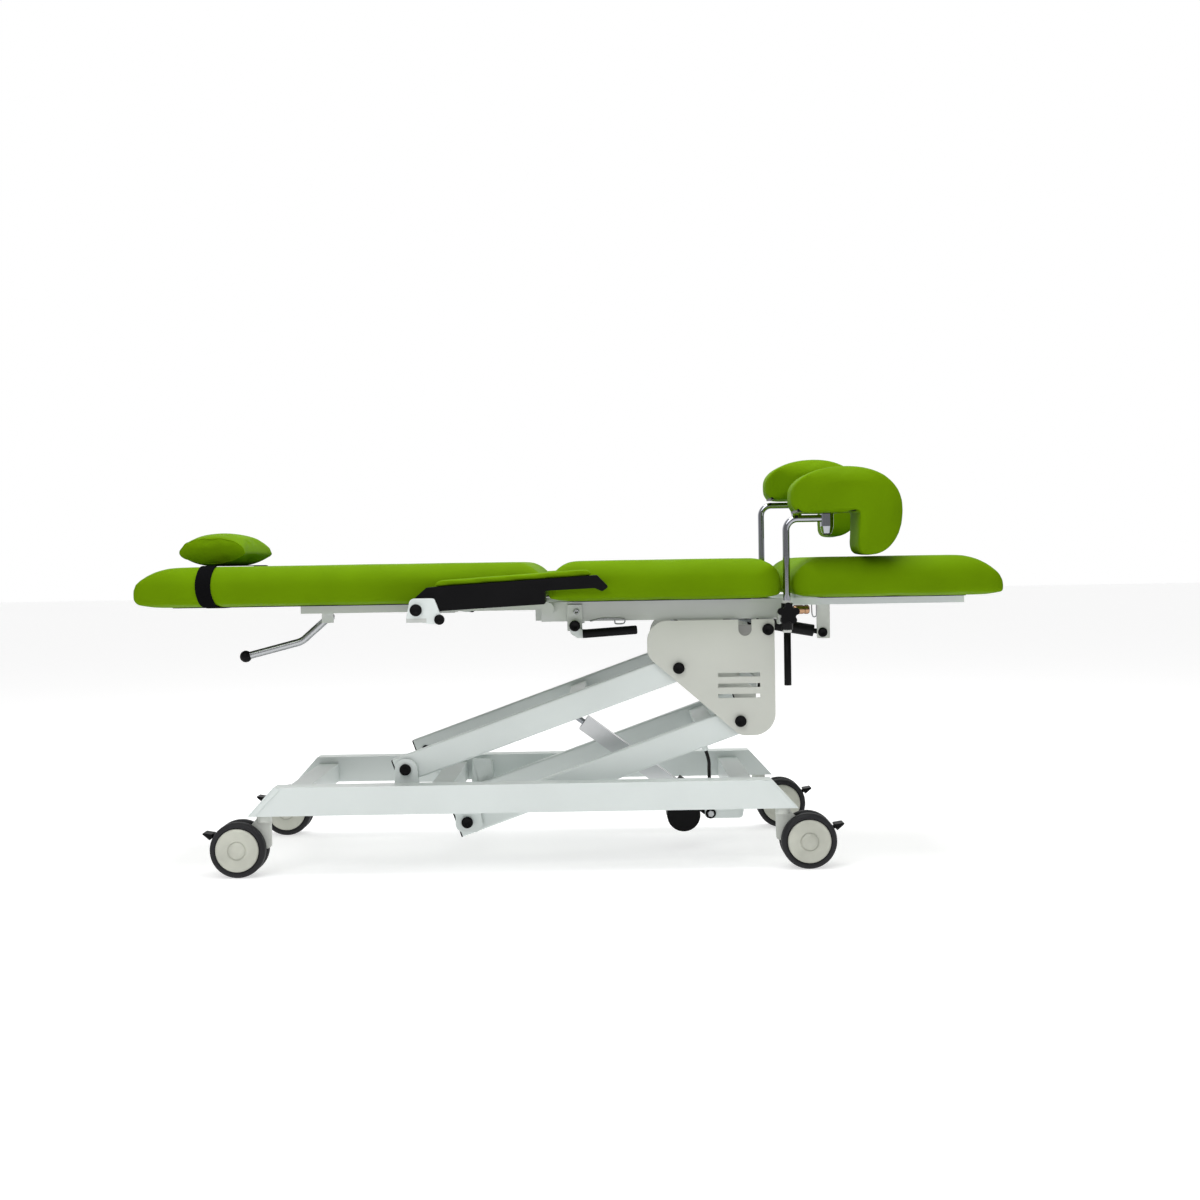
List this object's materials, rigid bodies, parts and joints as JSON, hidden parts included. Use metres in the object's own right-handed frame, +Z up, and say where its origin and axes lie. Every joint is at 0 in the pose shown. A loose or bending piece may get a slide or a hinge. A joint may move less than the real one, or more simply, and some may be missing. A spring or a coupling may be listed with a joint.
{
  "type": "electric gynecological chair",
  "caption": "Wheeled examination chair with an electric lift, hinged padded back, seat and leg sections, armrests, headrest pillow and adjustable leg supports.",
  "frame": {"origin": "on the floor, at the centre of the plan box", "axes": "+X towards the foot end, +Y across the chair to its far side, +Z up"},
  "size_m": [1.928, 0.812, 0.947],
  "materials": {
    "frame_paint": "semi-gloss powder coat",
    "plate_paint": "semi-gloss powder coat, warm light grey",
    "green_vinyl": "grained green vinyl",
    "black_plastic": "fine moulded texture",
    "black_steel": "satin black",
    "chrome": "polished",
    "aluminium": "satin extrusion",
    "satin_steel": "satin bright tube",
    "caster_grey": "moulded nylon",
    "caster_wheel": "dark tyre ring around a light disc",
    "cable": "smooth black sheath"
  },
  "bodies": {
    "base": {"base_rails": "frame_paint", "base_cross_members": "frame_paint", "arm_pivot_brackets": "frame_paint", "base_pivot_pins": "black_plastic", "control_box": "frame_paint", "lift_cable": "cable"},
    "upper_arm": {"upper_arm_frame": "frame_paint"},
    "lower_arm": {"lower_arm_frame": "frame_paint"},
    "carriage": {"side_plates": "plate_paint", "carriage_pins": "black_plastic", "carriage_cross_bars": "frame_paint"},
    "actuator": {"actuator_motor": "black_plastic", "actuator_tube": "aluminium"},
    "actuator_rod": {"actuator_rod": "chrome"},
    "seat": {"seat_frame": "frame_paint", "seat_pad": "green_vinyl", "clamp_blocks": "black_steel"},
    "seat_lever": {"seat_lever_arm": "frame_paint", "seat_lever_grip": "black_plastic"},
    "backrest": {"back_frame": "frame_paint", "back_pad": "green_vinyl", "armrest_brackets": "frame_paint"},
    "back_lever": {"back_lever": "satin_steel", "back_lever_knob": "black_plastic"},
    "pillow": {"headrest_pillow": "green_vinyl"},
    "legrest": {"leg_frame": "frame_paint", "leg_pad": "green_vinyl"},
    "back_cylinder": {"back_cylinder": "black_steel"},
    "back_gas_rod": {"back_gas_rod": "chrome"},
    "leg_cylinder": {"leg_cylinder": "black_steel"},
    "leg_gas_rod": {"leg_gas_rod": "chrome"},
    "tilt_cylinder": {"tilt_cylinder": "black_steel"},
    "tilt_gas_rod": {"tilt_gas_rod": "chrome"},
    "armrest_near": {"armrest_shell_near": "black_plastic", "armrest_pad_near": "green_vinyl"},
    "support_collar_near": {"support_collar_near": "black_plastic"},
    "support_post_near": {"support_post_near": "chrome"},
    "support_head_near": {"support_head_near": "black_steel", "support_pad_near": "green_vinyl"},
    "star_knob_near": {"star_knob_near": "black_plastic"},
    "armrest_far": {"armrest_shell_far": "black_plastic", "armrest_pad_far": "green_vinyl"},
    "support_collar_far": {"support_collar_far": "black_plastic"},
    "support_post_far": {"support_post_far": "chrome"},
    "support_head_far": {"support_head_far": "black_steel", "support_pad_far": "green_vinyl"},
    "star_knob_far": {"star_knob_far": "black_plastic"},
    "caster_fork_head_near": {"caster_fork_head_near": "caster_grey"},
    "caster_wheels_head_near": {"caster_wheels_head_near": "caster_wheel"},
    "brake_pedal_head_near": {"brake_pedal_head_near": "black_plastic"},
    "caster_fork_head_far": {"caster_fork_head_far": "caster_grey"},
    "caster_wheels_head_far": {"caster_wheels_head_far": "caster_wheel"},
    "brake_pedal_head_far": {"brake_pedal_head_far": "black_plastic"},
    "caster_fork_foot_near": {"caster_fork_foot_near": "caster_grey"},
    "caster_wheels_foot_near": {"caster_wheels_foot_near": "caster_wheel"},
    "brake_pedal_foot_near": {"brake_pedal_foot_near": "black_plastic"},
    "caster_fork_foot_far": {"caster_fork_foot_far": "caster_grey"},
    "caster_wheels_foot_far": {"caster_wheels_foot_far": "caster_wheel"},
    "brake_pedal_foot_far": {"brake_pedal_foot_far": "black_plastic"}
  },
  "joints": [
    {"name": "lift", "type": "hinge", "parent": "base", "child": "upper_arm", "pos_m": [-0.382, 0, 0.228], "axis": [0, -1, 0], "range_deg": [-4, 25], "deforming": ["lift_cable"]},
    {"name": "lower_arm_turn", "type": "hinge", "parent": "base", "child": "lower_arm", "pos_m": [-0.243, 0, 0.105], "axis": [0, -1, 0], "range_deg": [-4.5, 25.5]},
    {"name": "carriage_level", "type": "hinge", "parent": "upper_arm", "child": "carriage", "pos_m": [0.24486, 0, 0.44998], "axis": [0, -1, 0], "range_deg": [-25.5, 4.5]},
    {"name": "actuator_turn", "type": "hinge", "parent": "base", "child": "actuator", "pos_m": [0.327, 0, 0.083], "axis": [0, -1, 0], "range_deg": [-6.89, 1.52]},
    {"name": "actuator_rod_turn", "type": "hinge", "parent": "upper_arm", "child": "actuator_rod", "pos_m": [-0.03549, 0, 0.35071], "axis": [0, -1, 0], "range_deg": [-31.89, 5.52]},
    {"name": "seat_tilt", "type": "hinge", "parent": "carriage", "child": "seat", "pos_m": [0.449, 0, 0.535], "axis": [0, -1, 0], "range_deg": [0, 10]},
    {"name": "tilt_cylinder_turn", "type": "hinge", "parent": "carriage", "child": "tilt_cylinder", "pos_m": [0.425, 0.06, 0.44], "axis": [0, -1, 0], "range_deg": [-0.5, 9.46]},
    {"name": "tilt_rod_turn", "type": "hinge", "parent": "seat", "child": "tilt_gas_rod", "pos_m": [0.23, 0.06, 0.56], "axis": [0, -1, 0], "range_deg": [-1.54, 0.5]},
    {"name": "backrest_raise", "type": "hinge", "parent": "seat", "child": "backrest", "pos_m": [-0.05, 0, 0.59], "axis": [0, 1, 0], "range_deg": [0, 65]},
    {"name": "back_cylinder_turn", "type": "hinge", "parent": "seat", "child": "back_cylinder", "pos_m": [0.19, 0, 0.572], "axis": [0, -1, 0], "range_deg": [-2.52, 0.5]},
    {"name": "back_rod_turn", "type": "hinge", "parent": "backrest", "child": "back_gas_rod", "pos_m": [-0.044, 0, 0.562], "axis": [0, -1, 0], "range_deg": [-0.5, 63.49]},
    {"name": "legrest_lower", "type": "hinge", "parent": "seat", "child": "legrest", "pos_m": [0.485, 0, 0.588], "axis": [0, 1, 0], "range_deg": [0, 75]},
    {"name": "leg_cylinder_turn", "type": "hinge", "parent": "legrest", "child": "leg_cylinder", "pos_m": [0.586, -0.12, 0.522], "axis": [0, -1, 0], "range_deg": [-0.5, 54.41]},
    {"name": "leg_rod_turn", "type": "hinge", "parent": "seat", "child": "leg_gas_rod", "pos_m": [0.26, -0.12, 0.58], "axis": [0, -1, 0], "range_deg": [-21.59, 0.5]},
    {"name": "pillow_slide", "type": "slide", "parent": "backrest", "child": "pillow", "axis": [1, 0, 0], "range_m": [-0.04, 0.12]},
    {"name": "back_lever_pull", "type": "hinge", "parent": "backrest", "child": "back_lever", "pos_m": [-0.552, -0.206, 0.578], "axis": [0, 1, 0], "range_deg": [0, 12], "stiffness_Nm_per_rad": 3},
    {"name": "seat_lever_pull", "type": "hinge", "parent": "seat", "child": "seat_lever", "pos_m": [0.01, 0, 0.55], "axis": [0, -1, 0], "range_deg": [0, 15], "stiffness_Nm_per_rad": 4},
    {"name": "armrest_raise_near", "type": "hinge", "parent": "backrest", "child": "armrest_near", "pos_m": [-0.328, -0.357, 0.597], "axis": [0, -1, 0], "range_deg": [0, 95]},
    {"name": "support_turn_near", "type": "hinge", "parent": "seat", "child": "support_collar_near", "pos_m": [0.488, -0.262, 0.565], "axis": [0, 0, -1], "range_deg": [-10, 60]},
    {"name": "support_height_near", "type": "slide", "parent": "support_collar_near", "child": "support_post_near", "axis": [0, 0, 1], "range_m": [0, 0.12]},
    {"name": "support_swivel_near", "type": "hinge", "parent": "support_post_near", "child": "support_head_near", "pos_m": [0.58, -0.262, 0.78], "axis": [0, 0, -1], "range_deg": [-45, 45]},
    {"name": "star_knob_turn_near", "type": "hinge", "parent": "seat", "child": "star_knob_near", "pos_m": [0.488, -0.29, 0.572], "axis": [0, -1, 0], "continuous": true},
    {"name": "armrest_raise_far", "type": "hinge", "parent": "backrest", "child": "armrest_far", "pos_m": [-0.328, 0.357, 0.597], "axis": [0, -1, 0], "range_deg": [0, 95]},
    {"name": "support_turn_far", "type": "hinge", "parent": "seat", "child": "support_collar_far", "pos_m": [0.488, 0.262, 0.565], "axis": [0, 0, 1], "range_deg": [-10, 60]},
    {"name": "support_height_far", "type": "slide", "parent": "support_collar_far", "child": "support_post_far", "axis": [0, 0, 1], "range_m": [-0.04, 0.08]},
    {"name": "support_swivel_far", "type": "hinge", "parent": "support_post_far", "child": "support_head_far", "pos_m": [0.58, 0.262, 0.78], "axis": [0, 0, 1], "range_deg": [-45, 45]},
    {"name": "star_knob_turn_far", "type": "hinge", "parent": "seat", "child": "star_knob_far", "pos_m": [0.488, 0.29, 0.572], "axis": [0, 1, 0], "continuous": true},
    {"name": "caster_swivel_head_near", "type": "hinge", "parent": "base", "child": "caster_fork_head_near", "pos_m": [-0.696, -0.265, 0.137], "axis": [0, 0, 1], "continuous": true},
    {"name": "wheel_roll_head_near", "type": "hinge", "parent": "caster_fork_head_near", "child": "caster_wheels_head_near", "pos_m": [-0.752, -0.265, 0.0625], "axis": [0, 1, 0], "continuous": true},
    {"name": "brake_press_head_near", "type": "hinge", "parent": "caster_fork_head_near", "child": "brake_pedal_head_near", "pos_m": [-0.79369, -0.265, 0.08194], "axis": [0, -1, 0], "range_deg": [0, 12]},
    {"name": "caster_swivel_head_far", "type": "hinge", "parent": "base", "child": "caster_fork_head_far", "pos_m": [-0.696, 0.265, 0.137], "axis": [0, 0, 1], "continuous": true},
    {"name": "wheel_roll_head_far", "type": "hinge", "parent": "caster_fork_head_far", "child": "caster_wheels_head_far", "pos_m": [-0.752, 0.265, 0.0625], "axis": [0, 1, 0], "continuous": true},
    {"name": "brake_press_head_far", "type": "hinge", "parent": "caster_fork_head_far", "child": "brake_pedal_head_far", "pos_m": [-0.79369, 0.265, 0.08194], "axis": [0, -1, 0], "range_deg": [0, 12]},
    {"name": "caster_swivel_foot_near", "type": "hinge", "parent": "base", "child": "caster_fork_foot_near", "pos_m": [0.472, -0.265, 0.137], "axis": [0, 0, 1], "continuous": true},
    {"name": "wheel_roll_foot_near", "type": "hinge", "parent": "caster_fork_foot_near", "child": "caster_wheels_foot_near", "pos_m": [0.528, -0.265, 0.0625], "axis": [0, 1, 0], "continuous": true},
    {"name": "brake_press_foot_near", "type": "hinge", "parent": "caster_fork_foot_near", "child": "brake_pedal_foot_near", "pos_m": [0.56969, -0.265, 0.08194], "axis": [0, 1, 0], "range_deg": [0, 12]},
    {"name": "caster_swivel_foot_far", "type": "hinge", "parent": "base", "child": "caster_fork_foot_far", "pos_m": [0.472, 0.265, 0.137], "axis": [0, 0, 1], "continuous": true},
    {"name": "wheel_roll_foot_far", "type": "hinge", "parent": "caster_fork_foot_far", "child": "caster_wheels_foot_far", "pos_m": [0.528, 0.265, 0.0625], "axis": [0, 1, 0], "continuous": true},
    {"name": "brake_press_foot_far", "type": "hinge", "parent": "caster_fork_foot_far", "child": "brake_pedal_foot_far", "pos_m": [0.56969, 0.265, 0.08194], "axis": [0, 1, 0], "range_deg": [0, 12]}
  ],
  "couplings": [
    {"joint": "lower_arm_turn", "follows": "lift", "ratio": 1},
    {"joint": "carriage_level", "follows": "lift", "ratio": -1},
    {"joint": "actuator_turn", "follows": "lift", "ratio": -0.25556},
    {"joint": "actuator_rod_turn", "follows": "lift", "ratio": -1.2556},
    {"joint": "tilt_cylinder_turn", "follows": "seat_tilt", "ratio": 0.89547},
    {"joint": "tilt_rod_turn", "follows": "seat_tilt", "ratio": -0.10453},
    {"joint": "back_cylinder_turn", "follows": "backrest_raise", "ratio": -0.031},
    {"joint": "back_rod_turn", "follows": "backrest_raise", "ratio": 0.96903},
    {"joint": "leg_cylinder_turn", "follows": "legrest_lower", "ratio": 0.71879},
    {"joint": "leg_rod_turn", "follows": "legrest_lower", "ratio": -0.28121}
  ]
}
